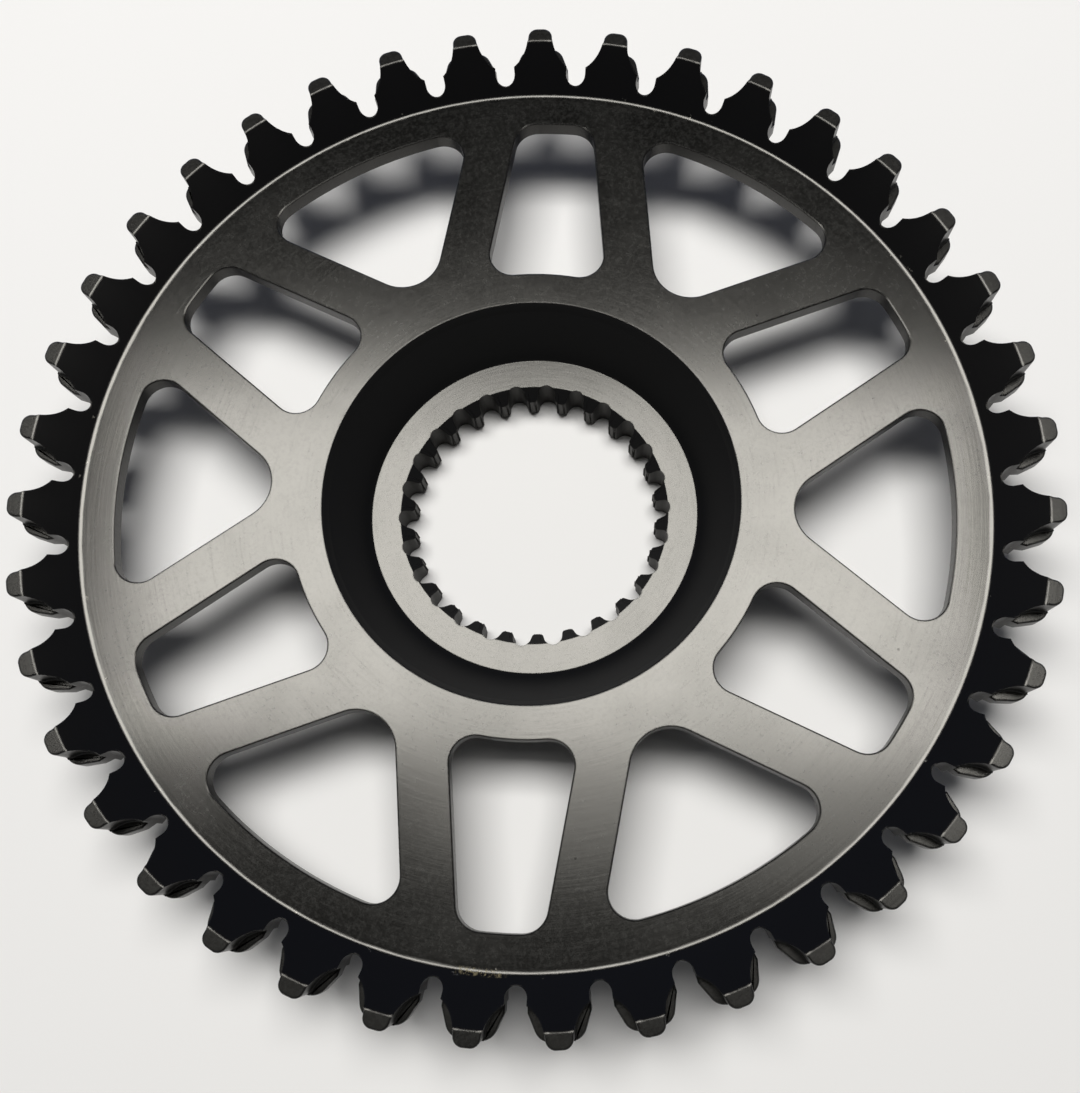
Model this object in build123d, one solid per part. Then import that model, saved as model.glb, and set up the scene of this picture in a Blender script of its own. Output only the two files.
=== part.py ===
from build123d import *
from math import cos, pi, radians, sin, sqrt, tan
import os

# A belt drive sprocket, turned and milled from one aluminium disc.
# The axis is Z, the hub's back face lies on Z = 0 and the outer face looks along +Z.
# A tooth and a pointed window are both centred on +Y.

# Belt teeth, depths measured inwards from the tooth tips
tooth_count = 39
belt_pitch = 11.0
cord_height = 0.98
tooth_width = 10.14
tooth_tip_width = 3.44
tip_chamfer = 0.8
groove_depth = 4.9
groove_foot_width = 2.1
knee_depth = 3.0
knee_width = 6.24
land_depth = 2.05
rim_depth = 8.1

# Mud slots and the centre flange between the teeth
slot_width = 2.67
slot_depth = 6.85
slot_chamfer = 0.7
throat_depth = 3.7
throat_angle = 24.0
flange_drop = 0.4
flange_chamfer = 1.1

# Web, spokes and windows
web_thickness = 2.5
window_count = 6
rim_band = 4.5
hub_band = 4.4
spoke_width = 6.64
spoke_offset = 15.5
spoke_lean = 7.4
window_fillet = 3.2
point_fillet = 5.1

# Hub, recess and spline
hub_length = 6.0
recess_depth = 7.46
recess_radius = 27.3
lip_depth = 1.2
lip_width = 0.7
seat_width = 3.63
hub_wall = 3.5
spline_count = 26
spline_phase = 9.7
spline_root_radius = 18.5
spline_root_width = 2.0
spline_depth = 1.92
spline_flank_angle = 10.0
lead_in = 1.65

# Radii that follow from the belt and the hub
tip_radius = tooth_count * belt_pitch / (2 * pi) - cord_height
land_radius = tip_radius - land_depth
rim_radius = tip_radius - rim_depth
flange_radius = tip_radius - flange_drop
window_outer = rim_radius - rim_band
window_inner = recess_radius + hub_band
seat_radius = spline_root_radius + seat_width
lip_radius = recess_radius - lip_width
spline_bore = spline_root_radius - spline_depth
clear_radius = tip_radius + land_depth

# Levels along the axis
face = hub_length + recess_depth
web_back = face - web_thickness
rim_rise = (tooth_width - web_thickness) / 2
front_land = face + rim_rise
back_land = web_back - rim_rise


def turned(count, face_2d, start=0.0):
    """Copies of a face drawn about +Y, spaced evenly round the axis."""
    return [Rot(0, 0, start + 360 / count * i) * face_2d for i in range(count)]


def corners(shape, radius):
    """The corners of a flat outline that lie at one radius from the axis."""
    return [v for v in shape.vertices() if abs(sqrt(v.X**2 + v.Y**2) - radius) < 1e-3]


def nearest(shape, x, y):
    """The corner of a flat outline at a point."""
    return shape.vertices().sort_by_distance((x, y, 0))[0]


def mirrored(*points):
    """A face with straight sides, drawn by its right half from the foot upwards."""
    left = [(-x, y) for x, y in reversed(points)]
    return make_face(Polyline(*points, *left, close=True))


# Turned blank: spline ring, dished hub, web, and the rim flaring to the tooth lands
dish_slope = (lip_radius - seat_radius) / (recess_depth - lip_depth)
hub_offset = hub_wall * sqrt(1 + dish_slope**2)
back_radius = seat_radius + hub_offset - dish_slope * hub_length
section = make_face(
    Polyline(
        (spline_bore, 0),
        (back_radius, 0),
        (back_radius + dish_slope * web_back, web_back),
        (rim_radius, web_back),
        (land_radius, back_land),
        (clear_radius, back_land),
        (clear_radius, front_land),
        (land_radius, front_land),
        (rim_radius, face),
        (recess_radius, face),
        (lip_radius, face - lip_depth),
        (seat_radius, hub_length),
        (spline_bore, hub_length),
        close=True,
    )
)
section = chamfer(nearest(section, spline_bore, hub_length), lead_in)
blank = revolve(Plane.XZ * section, Axis.Z)

# Belt grooves: each flank bends once, at the knee, and the tips are bevelled
groove_angle = 180 / tooth_count
mouth = tip_radius * sin(radians(groove_angle)) - tooth_tip_width / 2
groove = mirrored(
    (groove_foot_width / 2, tip_radius - groove_depth),
    (knee_width / 2, tip_radius - knee_depth),
    (mouth, tip_radius),
    (mouth, clear_radius),
)
belt_outline = Circle(tip_radius) - turned(tooth_count, groove, groove_angle)
belt_outline = chamfer(corners(belt_outline, tip_radius), tip_chamfer)

# Flange between the teeth: an open throat with bevelled shoulders
throat_slope = tan(radians(throat_angle))
throat_foot = tip_radius - throat_depth
throat = mirrored(
    (slot_width / 2, throat_foot),
    (slot_width / 2 + throat_slope * (clear_radius - throat_foot), clear_radius),
)
flange_outline = Circle(flange_radius) - turned(tooth_count, throat, groove_angle)
flange_outline = chamfer(corners(flange_outline, flange_radius), flange_chamfer)

# Mud slots, open through the whole width
slot_floor = tip_radius - slot_depth
slot = mirrored(
    (slot_width / 2 - slot_chamfer, slot_floor),
    (slot_width / 2, slot_floor + slot_chamfer),
    (slot_width / 2, tip_radius),
)

belt_gaps = Circle(clear_radius + land_depth) - belt_outline
open_gaps = belt_gaps - flange_outline + turned(tooth_count, slot, groove_angle)
cut_height = front_land + rim_rise
front_cut = Pos(0, 0, face) * extrude(belt_gaps, cut_height - face)
back_cut = extrude(belt_gaps, web_back)
through_cut = extrude(open_gaps, cut_height)
sprocket = blank - front_cut - back_cut - through_cut

# Windows: the spokes are straight bars that pass the axis at an offset, leaning both ways
near_side = spoke_offset - spoke_width / 2
far_side = spoke_offset + spoke_width / 2
lean = radians(spoke_lean)
point_lean = radians(spoke_lean + 180 / window_count)


def bar_side(distance, angle, y):
    """Where a spoke side crosses the height y, for a side that leans towards the axis."""
    return (distance - y * sin(angle)) / cos(angle)


wide_window = Circle(window_outer) - Circle(window_inner)
wide_window &= mirrored(
    (bar_side(near_side, lean, 0), 0),
    (bar_side(near_side, lean, rim_radius), rim_radius),
)
wide_window = fillet(wide_window.vertices(), window_fillet)

point = far_side / sin(point_lean)
pointed_window = Circle(window_outer) & make_face(
    Polyline(
        (0, point),
        (-bar_side(far_side, point_lean, rim_radius), rim_radius),
        (bar_side(far_side, point_lean, rim_radius), rim_radius),
        close=True,
    )
)
pointed_window = fillet(corners(pointed_window, window_outer), window_fillet)
pointed_window = fillet(nearest(pointed_window, 0, point), point_fillet)

windows = turned(window_count, pointed_window)
windows += turned(window_count, wide_window, 180 / window_count)
sprocket -= [Pos(0, 0, web_back) * extrude(w, web_thickness, both=True) for w in windows]

# Spline grooves, widening towards the axis
spline_mouth = spline_root_width / 2 + 2 * spline_depth * tan(radians(spline_flank_angle))
spline_gap = mirrored(
    (spline_mouth, spline_bore - spline_depth),
    (spline_root_width / 2, spline_root_radius),
)
sprocket -= [extrude(gap, face) for gap in turned(spline_count, spline_gap, spline_phase)]

sprocket.label = "sprocket"
os.makedirs("parts", exist_ok=True)
export_step(sprocket, "parts/sprocket.step")
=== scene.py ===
import math

import bpy
from mathutils import Matrix, Vector


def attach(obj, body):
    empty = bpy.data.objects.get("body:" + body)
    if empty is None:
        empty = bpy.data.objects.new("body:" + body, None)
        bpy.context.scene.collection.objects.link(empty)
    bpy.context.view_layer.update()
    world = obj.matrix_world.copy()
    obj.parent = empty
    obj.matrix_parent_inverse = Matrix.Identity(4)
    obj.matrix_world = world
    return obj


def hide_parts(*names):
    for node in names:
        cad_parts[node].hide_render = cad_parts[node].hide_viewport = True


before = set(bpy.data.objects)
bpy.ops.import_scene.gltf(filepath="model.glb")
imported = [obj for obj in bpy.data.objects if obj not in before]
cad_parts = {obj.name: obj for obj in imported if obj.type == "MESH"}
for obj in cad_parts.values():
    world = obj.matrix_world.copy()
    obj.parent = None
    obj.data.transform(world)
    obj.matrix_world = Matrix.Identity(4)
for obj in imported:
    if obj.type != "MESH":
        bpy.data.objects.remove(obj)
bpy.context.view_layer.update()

MM = 0.001
TURN = 2 * math.pi
AXIS = (0, 0)

# Sizes in millimetres and degrees: those of the solid, with arcs where it has straight facets
TOOTH_COUNT = 39
TIP_RADIUS = 67.297
LAND_RADIUS = 65.247
RIM_RADIUS = 59.197
FLANK_RADIUS, FLANK_SIDE, FLANK_DROP = 4.45, 0.757, 0.83
TIP_ROUND = 1.25
SLOT_HALF, SLOT_DEPTH = 1.335, 6.85
THROAT_DEPTH, THROAT_ANGLE = 3.7, 24.0
FLANGE_DROP, FLANGE_ROUND = 0.4, 2.0
FACE, WEB_BACK = 13.46, 10.96
FRONT_LAND, BACK_LAND = 17.28, 7.14
RECESS_RADIUS, LIP_RADIUS, LIP_DEPTH = 27.3, 26.6, 1.2
SEAT_RADIUS, SEAT = 22.13, 6.0
BACK_RADIUS, SHOULDER_RADIUS = 22.146, 29.97
SPLINE_COUNT, SPLINE_PHASE = 26, 9.7
SPLINE_BORE, SPLINE_ROOT, SPLINE_ARC, SPLINE_FLANK = 16.58, 18.5, 1.2, 10.0
LEAD_IN, BACK_BREAK = 1.65, 0.5
SPLINE_TIP_ROUND, SPLINE_TIP_END = 0.35, 255
WINDOW_COUNT, WINDOW_STEP = 6, 30
WINDOW_INNER, WINDOW_OUTER = 31.7, 54.697
SPOKE_NEAR, SPOKE_FAR, SPOKE_LEAN = 12.18, 18.82, 7.4
WINDOW_ROUND, POINT_ROUND = 3.2, 5.1

# How far the cutters reach past the metal
OVERRUN, LONG_OVERRUN = 2, 3
SPLINE_OVERRUN = 0.4
GAP_TOP_HALF, GAP_TOP_RISE = 3.0, 1.5

# A point nearer to the middle line than this lies on it
ON_MIDDLE = 1e-6


# Outlines, drawn as lists of points in millimetres

def arc(centre, radius, start, end, steps):
    """Points round a centre, the angles in degrees."""
    angles = [math.radians(start + (end - start) * i / steps) for i in range(steps + 1)]
    return [(centre[0] + radius * math.cos(a), centre[1] + radius * math.sin(a)) for a in angles]


def bearing(centre, point):
    return math.degrees(math.atan2(point[1] - centre[1], point[0] - centre[0]))


def crossing(centre_a, radius_a, centre_b, radius_b, side):
    """Where two circles cross, on the left (+1) or right (-1) of the line from a to b."""
    a, b = Vector(centre_a), Vector(centre_b)
    gap = (b - a).length
    along = (radius_a**2 - radius_b**2 + gap**2) / (2 * gap)
    out = math.sqrt(radius_a**2 - along**2)
    ahead = (b - a) / gap
    across = Vector((-ahead.y, ahead.x))
    return tuple(a + ahead * along + across * out * side)


def rounded(corners):
    """A closed outline. A corner is a point and, where it is rounded, a radius and steps."""
    places = [Vector(corner[:2]) for corner in corners]
    result = []
    for i, (here, corner) in enumerate(zip(places, corners)):
        if len(corner) == 2:
            result.append(corner)
            continue
        radius, steps = corner[2:]
        before = (places[i - 1] - here).normalized()
        after = (places[(i + 1) % len(places)] - here).normalized()
        half = before.angle(after) / 2
        centre = here + (before + after).normalized() * (radius / math.sin(half))
        first = here + before * (radius / math.tan(half))
        last = here + after * (radius / math.tan(half))
        start, end = bearing(centre, first), bearing(centre, last)
        end += 360 * round((start - end) / 360)
        result += arc(centre, radius, start, end, steps)
    return result


def both_sides(right_half):
    """A closed outline from its right half, which starts and ends on or near the middle line."""
    return right_half + [(-x, y) for x, y in reversed(right_half) if abs(x) > ON_MIDDLE]


flank_centre = (-FLANK_SIDE, TIP_RADIUS - FLANK_DROP)
tip_centre = crossing(flank_centre, FLANK_RADIUS + TIP_ROUND, AXIS, TIP_RADIUS - TIP_ROUND, 1)
throat = math.radians(THROAT_ANGLE)
throat_foot = (SLOT_HALF, TIP_RADIUS - THROAT_DEPTH)
flange_ring = TIP_RADIUS - FLANGE_DROP - FLANGE_ROUND
lean_in = throat_foot[0] * math.cos(throat) - throat_foot[1] * math.sin(throat) + FLANGE_ROUND
flange_turn = math.acos(lean_in / flange_ring) - throat
flange_centre = (flange_ring * math.cos(flange_turn), flange_ring * math.sin(flange_turn))
flange_meet = crossing(flange_centre, FLANGE_ROUND, tip_centre, TIP_ROUND, 1)

# Right halves of the gaps between two teeth, drawn about +Y
slot_centre = (0, TIP_RADIUS - SLOT_DEPTH + SLOT_HALF)
tip_bearing = bearing(AXIS, tip_centre)
meet_bearing = bearing(tip_centre, flange_meet)
flank_foot = (0, flank_centre[1] - math.sqrt(FLANK_RADIUS**2 - FLANK_SIDE**2))
flank_top = bearing(flank_centre, tip_centre)
flange_end = bearing(flange_centre, flange_meet)

open_gap = arc(slot_centre, SLOT_HALF, -90, 0, 8) + [throat_foot]
open_gap += arc(flange_centre, FLANGE_ROUND, 180 - THROAT_ANGLE, flange_end, 8)
open_gap += arc(tip_centre, TIP_ROUND, meet_bearing, tip_bearing, 6)[1:]
open_gap += arc(AXIS, TIP_RADIUS + LONG_OVERRUN, tip_bearing, 90, 2)

belt_gap = arc(flank_centre, FLANK_RADIUS, bearing(flank_centre, flank_foot), flank_top, 14)
belt_gap += arc(tip_centre, TIP_ROUND, 180 + flank_top, meet_bearing, 5)[1:]
belt_gap.append((GAP_TOP_HALF, TIP_RADIUS + GAP_TOP_RISE))

# Right half of a spline groove, its mouth rounded over the tips of the spline teeth
spline_gap = arc((0, SPLINE_ROOT - SPLINE_ARC), SPLINE_ARC, 90, SPLINE_FLANK, 8)
mouth = SPLINE_BORE + SPLINE_TIP_ROUND
flank_x, flank_y = spline_gap[-1]
mouth_half = flank_x + (flank_y - mouth) * math.tan(math.radians(SPLINE_FLANK))
mouth_centre = (mouth_half + SPLINE_TIP_ROUND, mouth)
spline_gap += arc(mouth_centre, SPLINE_TIP_ROUND, 180, SPLINE_TIP_END, 5)
spline_gap.append((spline_gap[-1][0], SPLINE_BORE - SPLINE_OVERRUN))

# Right half of a wide window: hub arc, corner, spoke side, corner, rim arc
near = SPOKE_NEAR - WINDOW_ROUND
low_ring, high_ring = WINDOW_INNER + WINDOW_ROUND, WINDOW_OUTER - WINDOW_ROUND
low_turn = math.degrees(math.acos(near / low_ring)) + SPOKE_LEAN
high_turn = math.degrees(math.acos(near / high_ring)) + SPOKE_LEAN
low_corner = arc(AXIS, low_ring, low_turn, low_turn, 1)[0]
high_corner = arc(AXIS, high_ring, high_turn, high_turn, 1)[0]
wide_window = arc(AXIS, WINDOW_INNER, 90, low_turn, 6)
wide_window += arc(low_corner, WINDOW_ROUND, low_turn - 180, SPOKE_LEAN, 12)[1:]
wide_window += arc(high_corner, WINDOW_ROUND, SPOKE_LEAN, high_turn, 10)
wide_window += arc(AXIS, WINDOW_OUTER, high_turn, 90, 8)[1:]

# Right half of a pointed window: the point on the middle line, spoke side, corner, rim arc
point_lean = SPOKE_LEAN + WINDOW_STEP
point_centre = (0, (SPOKE_FAR + POINT_ROUND) / math.sin(math.radians(point_lean)))
side_turn = math.degrees(math.acos(-(SPOKE_FAR + WINDOW_ROUND) / high_ring)) - point_lean
side_corner = arc(AXIS, high_ring, side_turn, side_turn, 1)[0]
pointed_window = arc(point_centre, POINT_ROUND, -90, -point_lean, 10)
pointed_window += arc(side_corner, WINDOW_ROUND, -point_lean, side_turn, 14)
pointed_window += arc(AXIS, WINDOW_OUTER, side_turn, 90, 8)[1:]

# Half section of the turned blank: radius and level, then the rounding's radius and steps
blank_section = rounded(
    [
        (SPLINE_BORE, BACK_BREAK),
        (SPLINE_BORE + BACK_BREAK, 0),
        (BACK_RADIUS, 0, 0.4, 3),
        (SHOULDER_RADIUS, WEB_BACK, 1.0, 5),
        (RIM_RADIUS, WEB_BACK, 0.8, 4),
        (LAND_RADIUS, BACK_LAND, 0.5, 1),
        (TIP_RADIUS, BACK_LAND),
        (TIP_RADIUS, FRONT_LAND),
        (LAND_RADIUS, FRONT_LAND, 0.5, 1),
        (RIM_RADIUS, FACE, 0.9, 5),
        (RECESS_RADIUS, FACE, 0.25, 3),
        (LIP_RADIUS, FACE - LIP_DEPTH, 0.3, 3),
        (SEAT_RADIUS, SEAT),
        (SPLINE_BORE + LEAD_IN, SEAT),
        (SPLINE_BORE, SEAT - LEAD_IN),
    ]
)


# Modelling

# Gaps that are closed, in metres, and turns between faces
JOIN_GAP, SLIVER_GAP, TOUCH_GAP = 2e-6, 8e-6, 1e-6
FLAT_TURN, SMOOTH_TURN, SHARP_TURN = math.radians(0.2), math.radians(35), math.radians(50)

# Slack for telling where an edge or a face lies, in millimetres and as a share of straight up
WINDOW_SLACK, LAND_SLACK, LEVEL_FACING = 1, 0.002, 0.9999

LATHE_STEPS = TOOTH_COUNT * 12


def placed(points, level, turn):
    """An outline's points in metres, at a level along the axis and turned about it."""
    spin = Matrix.Rotation(math.radians(turn), 4, "Z")
    return [spin @ Vector((x * MM, y * MM, level * MM)) for x, y in points]


def drawn(name, points):
    """A new piece with one closed outline, drawn on from a plane shrunk to its middle."""
    bpy.ops.object.select_all(action="DESELECT")
    bpy.ops.mesh.primitive_plane_add(size=MM)
    piece = bpy.context.active_object
    piece.name = name
    bpy.ops.object.mode_set(mode="EDIT")
    bpy.ops.mesh.select_all(action="SELECT")
    bpy.ops.mesh.merge(type="CENTER")
    bpy.ops.transform.translate(value=points[0])
    for here, there in zip(points, points[1:]):
        bpy.ops.mesh.extrude_region_move(TRANSFORM_OT_translate={"value": there - here})
    bpy.ops.mesh.select_all(action="SELECT")
    bpy.ops.mesh.edge_face_add()
    return piece


def closed_up(piece):
    """Joins what meets, turns every face outwards and leaves edit mode."""
    bpy.ops.mesh.select_all(action="SELECT")
    bpy.ops.mesh.remove_doubles(threshold=JOIN_GAP)
    bpy.ops.mesh.normals_make_consistent(inside=False)
    bpy.ops.object.mode_set(mode="OBJECT")
    return piece


def cutters(name, half, low, high, count, turn):
    """Prisms on one outline, modelled once and copied round the axis."""
    piece = drawn(name, placed(both_sides(half), low, turn))
    bpy.ops.mesh.extrude_region_move(TRANSFORM_OT_translate={"value": (0, 0, (high - low) * MM)})
    bpy.ops.mesh.select_all(action="SELECT")
    bpy.ops.mesh.spin(
        steps=count - 1, dupli=True, angle=TURN * (count - 1) / count,
        center=(0, 0, 0), axis=(0, 0, 1),
    )
    return closed_up(piece)


def cut(body, cutter):
    """Takes a cutter's shape out of a body and throws the cutter away."""
    bpy.ops.object.select_all(action="DESELECT")
    bpy.context.view_layer.objects.active = body
    body.select_set(True)
    tool = body.modifiers.new("cut", "BOOLEAN")
    tool.operation, tool.solver, tool.object = "DIFFERENCE", "EXACT", cutter
    bpy.ops.object.modifier_apply(modifier=tool.name)
    bpy.data.objects.remove(cutter)


def cleared(body):
    """Joins slivers left by the cuts and takes out edges that cross flat faces."""
    bpy.ops.object.mode_set(mode="EDIT")
    bpy.ops.mesh.select_all(action="SELECT")
    bpy.ops.mesh.remove_doubles(threshold=SLIVER_GAP)
    bpy.ops.mesh.dissolve_limited(angle_limit=FLAT_TURN)
    bpy.ops.mesh.select_all(action="SELECT")
    bpy.ops.mesh.normals_make_consistent(inside=False)
    bpy.ops.object.mode_set(mode="OBJECT")


def edges_broken(body, chosen, width, segments):
    """Rounds the sharp edges whose two ends pass a test, the width in millimetres."""
    bpy.ops.object.mode_set(mode="EDIT")
    bpy.ops.mesh.select_mode(type="EDGE")
    bpy.ops.mesh.select_all(action="DESELECT")
    bpy.ops.mesh.edges_select_sharp(sharpness=SHARP_TURN)
    bpy.ops.object.mode_set(mode="OBJECT")
    points = body.data.vertices
    for line in body.data.edges:
        line.select = line.select and chosen(*[points[i].co / MM for i in line.vertices])
    bpy.ops.object.mode_set(mode="EDIT")
    bpy.ops.mesh.bevel(
        offset=width * MM, segments=segments, loop_slide=False, clamp_overlap=False
    )
    bpy.ops.mesh.select_mode(type="VERT")
    bpy.ops.mesh.select_all(action="SELECT")
    bpy.ops.mesh.remove_doubles(threshold=TOUCH_GAP)
    bpy.ops.object.mode_set(mode="OBJECT")


def on_window(*ends):
    """Both ends lie in the web, between the hub and the rim."""
    inner, outer = WINDOW_INNER - WINDOW_SLACK, WINDOW_OUTER + WINDOW_SLACK
    return all(inner < p.xy.length < outer for p in ends)


def on_land(*ends):
    """Both ends lie on the flat front or back of a tooth."""
    return all(min(abs(p.z - FRONT_LAND), abs(p.z - BACK_LAND)) < LAND_SLACK for p in ends)


# The blank is turned on the lathe
section_points = [Vector((0, r * MM, z * MM)) for r, z in blank_section]
body = drawn("sprocket_body", section_points)
bpy.ops.mesh.delete(type="ONLY_FACE")
bpy.ops.mesh.select_all(action="SELECT")
bpy.ops.mesh.spin(steps=LATHE_STEPS, angle=TURN, center=(0, 0, 0), axis=(0, 0, 1))
closed_up(body)

# The windows are milled through the web, and their edges are broken
low, high = WEB_BACK - LONG_OVERRUN, FACE + OVERRUN
cut(body, cutters("pointed_windows", pointed_window, low, high, WINDOW_COUNT, 0))
cut(body, cutters("wide_windows", wide_window, low, high, WINDOW_COUNT, WINDOW_STEP))
cleared(body)
edges_broken(body, on_window, width=0.2, segments=2)

# Then the tooth gaps and the spline grooves
gap_turn = 180 / TOOTH_COUNT
low, high = -OVERRUN, FRONT_LAND + LONG_OVERRUN
cut(body, cutters("mud_slots", open_gap, low, high, TOOTH_COUNT, gap_turn))
low, high = FACE, FRONT_LAND + OVERRUN
cut(body, cutters("front_grooves", belt_gap, low, high, TOOTH_COUNT, gap_turn))
low, high = BACK_LAND - OVERRUN, WEB_BACK
cut(body, cutters("back_grooves", belt_gap, low, high, TOOTH_COUNT, gap_turn))
low, high = -OVERRUN, SEAT + OVERRUN
cut(body, cutters("spline_grooves", spline_gap, low, high, SPLINE_COUNT, SPLINE_PHASE))
cleared(body)

# The tooth lands get round edges
edges_broken(body, on_land, width=0.23, segments=3)

# Smooth shading, with the level faces kept flat up to their edges
bpy.ops.object.shade_smooth_by_angle(angle=SMOOTH_TURN)
bpy.ops.object.mode_set(mode="EDIT")
bpy.ops.mesh.select_mode(type="FACE")
bpy.ops.mesh.select_all(action="DESELECT")
bpy.ops.object.mode_set(mode="OBJECT")
for facet in body.data.polygons:
    facet.select = abs(facet.normal.z) > LEVEL_FACING
bpy.ops.object.mode_set(mode="EDIT")
bpy.ops.mesh.region_to_loop()
bpy.ops.mesh.mark_sharp()
bpy.ops.mesh.select_mode(type="VERT")
bpy.ops.object.mode_set(mode="OBJECT")

# Broad faces keep their own direction where a narrow rounding meets them
even = body.modifiers.new("even_shading", "WEIGHTED_NORMAL")
even.keep_sharp, even.weight = True, 100
bpy.ops.object.modifier_apply(modifier=even.name)

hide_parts("sprocket")
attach(body, "root")


# Finish

# Colours, the shine's tint first
WARM = (1.0, 0.965, 0.88, 1)
FILM_DARK, FILM_PALE = (0.0004, 0.0004, 0.0004, 1), (0.0105, 0.0105, 0.0098, 1)
DULL_BLACK = (0.005, 0.005, 0.0047, 1)
SATIN_BLACK = (0.0026, 0.0026, 0.003, 1)
MATTE_BLACK = (0.0055, 0.0055, 0.0057, 1)
MILLED_BLACK = (0.005, 0.005, 0.0052, 1)
BARE_METAL = (0.42, 0.40, 0.34, 1)
BRASS = (0.26, 0.22, 0.12, 1)

# Bands round the rim in millimetres from the axis: inner end, outer end, and how far each fades
BRIGHT_BAND = (58.3, 60.4, 0.4)
NICK_BAND = (58.5, 60.0, 0.5)
SCUFF_BAND = (58.7, 59.8, 0.3)

# The scuff's bearing in degrees, and how far to each side it fades
SCUFF_BEARING, SCUFF_END, SCUFF_FULL = -121.9, 3.2, 2.0


class Socket:
    """A value in a shader that can be reckoned with like a number."""

    def __init__(self, tree, output=None):
        self.tree, self.output = tree, output

    def add(self, kind, settings=None, values=None, output=0):
        """A new node of any kind: its settings first, then its sockets' values or links."""
        node = self.tree.nodes.new(kind)
        for name, value in (settings or {}).items():
            setattr(node, name, value)
        for name, value in (values or {}).items():
            if isinstance(value, Socket):
                self.tree.links.new(value.output, node.inputs[name])
            else:
                node.inputs[name].default_value = value
        return Socket(self.tree, node.outputs[output] if len(node.outputs) else None)

    def maths(self, operation, first, second=0.0):
        return self.add("ShaderNodeMath", {"operation": operation}, {0: first, 1: second})

    def __add__(self, other):
        return self.maths("ADD", self, other)

    def __sub__(self, other):
        return self.maths("SUBTRACT", self, other)

    def __rsub__(self, other):
        return self.maths("SUBTRACT", other, self)

    def __mul__(self, other):
        return self.maths("MULTIPLY", self, other)

    __radd__, __rmul__ = __add__, __mul__

    def between(self, low, high, first=0.0, last=1.0):
        """Goes smoothly from one value to another while this one goes from low to high."""
        return self.add(
            "ShaderNodeMapRange", {"interpolation_type": "SMOOTHSTEP"},
            {"Value": self, "From Min": low, "From Max": high, "To Min": first, "To Max": last},
        )

    def within(self, low, high, fade):
        """One inside a band, falling to nothing at its two ends."""
        return self.between(low, low + fade) * self.between(high, high - fade)

    def vector(self, operation, other=None, output=0, **values):
        """A sum on directions or places, with a second one or with a named value."""
        inputs = {0: self, **values}
        if other is not None:
            inputs[1] = other
        return self.add("ShaderNodeVectorMath", {"operation": operation}, inputs, output)

    def part(self, name):
        return self.add("ShaderNodeSeparateXYZ", None, {0: self}, name)

    def joined(self, x, y, z):
        return self.add("ShaderNodeCombineXYZ", None, {0: x, 1: y, 2: z})

    def noise(self, scale, detail, roughness=0.5):
        return self.add(
            "ShaderNodeTexNoise", None,
            {"Vector": self, "Scale": scale, "Detail": detail, "Roughness": roughness}, "Fac",
        )

    def blend(self, share, first, second):
        """A colour between two others."""
        return self.add("ShaderNodeMix", {"data_type": "RGBA"}, {0: share, 6: first, 7: second}, 2)

    def relief(self, height, depth, normal):
        """A normal tilted by a height that stands this deep, in metres."""
        return self.add(
            "ShaderNodeBump", None,
            {"Height": height, "Distance": depth, "Strength": 1.0, "Normal": normal},
        )

    def paint(self, colour, roughness, ior, normal):
        """A coloured surface with a clear shine over it."""
        return self.add(
            "ShaderNodeBsdfPrincipled", None,
            {
                "Base Color": colour, "Roughness": roughness, "IOR": ior,
                "Specular Tint": WARM, "Normal": normal,
            },
        )

    def mixed_with(self, other, share):
        return self.add("ShaderNodeMixShader", None, {0: share, 1: self, 2: other})


def blank_tree(owner):
    """A tree with nothing in it but what is added next."""
    owner.use_nodes = True
    owner.node_tree.nodes.clear()
    return Socket(owner.node_tree)


anodised = bpy.data.materials.new("black_anodised")
tree = blank_tree(anodised)
place = tree.add("ShaderNodeTexCoord", output="Object").vector("SCALE", Scale=1 / MM)
from_axis = place.vector("MULTIPLY", (1, 1, 0))
radius = from_axis.vector("LENGTH", output="Value")
round_way = from_axis.vector("NORMALIZE")
turn = tree.maths("ARCTAN2", place.part("Y"), place.part("X")) * (360 / TURN)
facing = tree.maths("ABSOLUTE", tree.add("ShaderNodeNewGeometry", output="Normal").part("Z"))
edge = tree.add("ShaderNodeBevel", {"samples": 2}, {"Radius": 0.2 * MM})

# Where each finish lies: flat turned faces, upright milled walls, the dished recess
flat = facing.between(0.90, 0.96)
wall = facing.between(0.35, 0.15)
dish = radius.between(RECESS_RADIUS + 0.3, RECESS_RADIUS) * facing.between(0.9, 0.8)

# Places on the part: the outer side of the rim, the tooth lands, the hub and its bore
front = place.part("Z").between(12.6, 13.2)
lands = radius.between(63, 64)
hub = radius.between(24, 22)
bore = radius.between(22, 20)

# Turning lines: short arcs about the axis
ring_place = round_way.vector("SCALE", Scale=5.0).vector("ADD", tree.joined(0, 0, radius * 2.6))
lines = ring_place.noise(1.0, detail=2.0, roughness=0.65)
turned_relief = tree.relief(lines, depth=0.0028 * MM, normal=edge)

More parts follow.
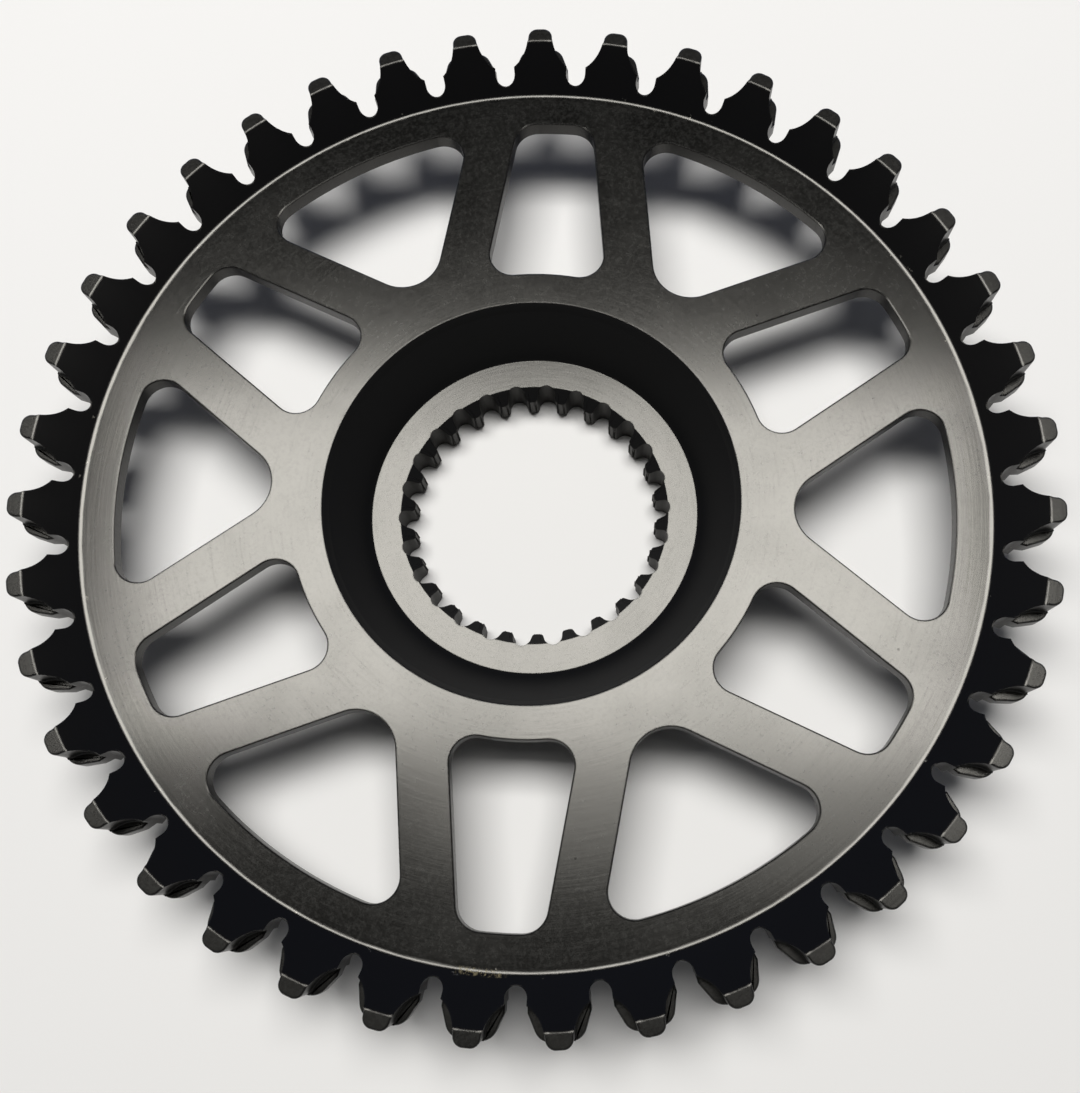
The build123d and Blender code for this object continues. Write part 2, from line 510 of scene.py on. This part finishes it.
# Haze: broad smudges, grain and streaks that dull the shine, less of it on the rim's bright line
smudge = place.noise(0.07, detail=3.0, roughness=0.6).between(0.42, 0.68)
grain_marks = place.noise(1.9, detail=3.0, roughness=0.85)
grain = grain_marks.between(0.45, 0.75)
streaks = lines.between(0.52, 0.74)
haze = smudge * 0.12 + grain * 0.15 + streaks * 0.09 + hub * 0.1 + lands * 0.3
haze = haze * (1 - radius.within(*BRIGHT_BAND) * 0.7)
film = tree.blend(grain_marks.between(0.38, 0.66), FILM_DARK, FILM_PALE)
turned = tree.paint(film, roughness=0.16 + haze * 0.12, ior=1.575, normal=turned_relief)
dull = tree.paint(DULL_BLACK, roughness=0.31, ior=1.39, normal=turned_relief)
satin = tree.paint(SATIN_BLACK, roughness=0.18, ior=1.42, normal=turned_relief)
matte = tree.paint(MATTE_BLACK, roughness=0.4, ior=1.21, normal=turned_relief)

# Milled walls: upright tool marks and a rough grain, duller in the bore
mill_place = place.vector("MULTIPLY", (1, 1, 0.22))
mill_marks = mill_place.noise(2.2, detail=2.0, roughness=0.6)
mill_height = mill_marks + place.noise(3.5, detail=1.0) * 0.5
milled_relief = tree.relief(mill_height, depth=0.03 * MM, normal=edge)
mill_roughness = 0.28 + mill_marks * 0.12 + bore * 0.22
milled = tree.paint(MILLED_BLACK, roughness=mill_roughness, ior=1.41, normal=milled_relief)

# Wear: pits in the face, nicks along the rim, a scuff at one place on it, burrs in the mud slots
cells = tree.add("ShaderNodeTexVoronoi", None, {"Vector": place, "Scale": 0.24}, "Distance")
pit_patches = place.noise(0.11, detail=1.0).between(0.5, 0.56)
pits = cells.between(0.055, 0.03) * pit_patches * flat * radius.between(24, 28)
nick_marks = place.noise(0.55, detail=4.0, roughness=0.7).between(0.66, 0.72)
nicks = nick_marks * radius.within(*NICK_BAND) * front
scuff_marks = place.noise(2.8, detail=3.0, roughness=0.7).between(0.48, 0.62)
scuff_arc = tree.maths("ABSOLUTE", turn - SCUFF_BEARING).between(SCUFF_END, SCUFF_FULL)
scuff = scuff_marks * scuff_arc * radius.within(*SCUFF_BAND) * front
burr_marks = place.noise(1.9, detail=4.0, roughness=0.75).between(0.6, 0.7)
burrs = burr_marks * wall * radius.between(60, 60.4)
worn = tree.add(
    "ShaderNodeBsdfPrincipled", None,
    {"Base Color": BARE_METAL, "Metallic": 1.0, "Roughness": 0.42, "Normal": milled_relief},
)
brass_dust = tree.paint(BRASS, roughness=0.6, ior=1.4, normal=milled_relief)

# The finishes laid over one another, the wear last
finish = satin.mixed_with(turned.mixed_with(dull, haze), flat)
finish = finish.mixed_with(matte, dish).mixed_with(milled, wall).mixed_with(matte, pits * 0.7)
finish = finish.mixed_with(worn, nicks * 0.5 + burrs * 0.35).mixed_with(brass_dust, scuff * 0.5)
tree.add("ShaderNodeOutputMaterial", None, {"Surface": finish})
body.data.materials.clear()
body.data.materials.append(anodised)


# Floor, lights and camera, in metres, from the camera's side: x to the right and y away from it

photo_turn = Matrix.Rotation(math.radians(-26.7), 4, "Z")
lamp_turn = Matrix.Rotation(math.radians(-2), 4, "Z")
FLOOR_RADIUS, FLOOR_LEVEL = 0.7, -0.1 * MM
PAPER = (0.785, 0.772, 0.746, 1)

# The room's colours, and how strongly it lights what is neither seen nor mirrored
NEAR_HORIZON, FAR_HORIZON = (0.58, 0.60, 0.63, 1), (0.46, 0.53, 0.80, 1)
NEAR_WALL, FAR_WALL = (0.13, 0.126, 0.115, 1), (0.052, 0.064, 0.105, 1)
ZENITH = (0.028, 0.028, 0.028, 1)
BACKDROP = (0.70, 0.71, 0.72, 1)
FILL_STRENGTH = 0.45

# The camera: lens and sensor in millimetres, tilts in radians
LENS, SENSOR_WIDTH = 39.52, 36
SHIFT_X, SHIFT_Y = -0.0291, 0.0242
CLIP_START = 0.005
CAMERA_PLACE = (0.01124, -0.04677, 0.16229)
SIDE_TILT, BACK_TILT = 0.03893, 0.23955

bpy.ops.object.select_all(action="DESELECT")
bpy.ops.mesh.primitive_circle_add(
    radius=FLOOR_RADIUS, vertices=128, fill_type="NGON", location=(0, 0, FLOOR_LEVEL)
)
floor = bpy.context.active_object
floor.name = "floor"
paper = bpy.data.materials.new("pale_paper")
tree = blank_tree(paper)
sheet = tree.add("ShaderNodeBsdfPrincipled", None, {"Base Color": PAPER, "Roughness": 0.8})
tree.add("ShaderNodeOutputMaterial", None, {"Surface": sheet})
floor.data.materials.append(paper)


def lamp(name, place, width, depth, power):
    """A soft lamp that hangs over the sprocket and shines straight down."""
    bpy.ops.object.light_add(type="AREA")
    light = bpy.context.active_object
    light.name = name
    light.data.shape = "RECTANGLE"
    light.data.size, light.data.size_y = width, depth
    light.data.energy = power
    light.matrix_world = photo_turn @ Matrix.Translation(place) @ lamp_turn


lamp("strip_lamp", (-0.046, 0.196, 0.8), width=0.691, depth=0.306, power=8.1)
lamp("side_glow", (0.06, 0.0, 0.8), width=0.40, depth=0.09, power=0.3)

world = bpy.context.scene.world or bpy.data.worlds.new("studio")
bpy.context.scene.world = world
tree = blank_tree(world)
outward = tree.add("ShaderNodeTexCoord", output="Generated")
height = outward.part("Z")
away = photo_turn @ Vector((0, 1, 0))
far_side = outward.vector("DOT_PRODUCT", away, output="Value").between(-0.2, 0.7)
horizon = tree.blend(far_side, NEAR_HORIZON, FAR_HORIZON)
upper_wall = tree.blend(far_side, NEAR_WALL, FAR_WALL)
room = tree.blend(height.between(0.25, 0.5), horizon, upper_wall)
room = tree.blend(height.between(0.6, 0.75), room, ZENITH)
camera_ray = tree.add("ShaderNodeLightPath", output="Is Camera Ray")
glossy_ray = tree.add("ShaderNodeLightPath", output="Is Glossy Ray")
room = tree.blend(camera_ray, room, BACKDROP)
strength = (camera_ray + glossy_ray).between(0, 1, FILL_STRENGTH, 1.0)
room = tree.add("ShaderNodeBackground", None, {"Color": room, "Strength": strength})
tree.add("ShaderNodeOutputWorld", None, {"Surface": room})

bpy.ops.object.camera_add()
camera = bpy.context.active_object
camera.name = "camera"
camera.data.lens, camera.data.sensor_width = LENS, SENSOR_WIDTH
camera.data.shift_x, camera.data.shift_y = SHIFT_X, SHIFT_Y
camera.data.clip_start = CLIP_START
tilt = Matrix.Rotation(SIDE_TILT, 4, "Y") @ Matrix.Rotation(BACK_TILT, 4, "X")
camera.matrix_world = photo_turn @ Matrix.Translation(CAMERA_PLACE) @ tilt
bpy.context.scene.camera = camera
bpy.context.scene.view_settings.view_transform = "Standard"
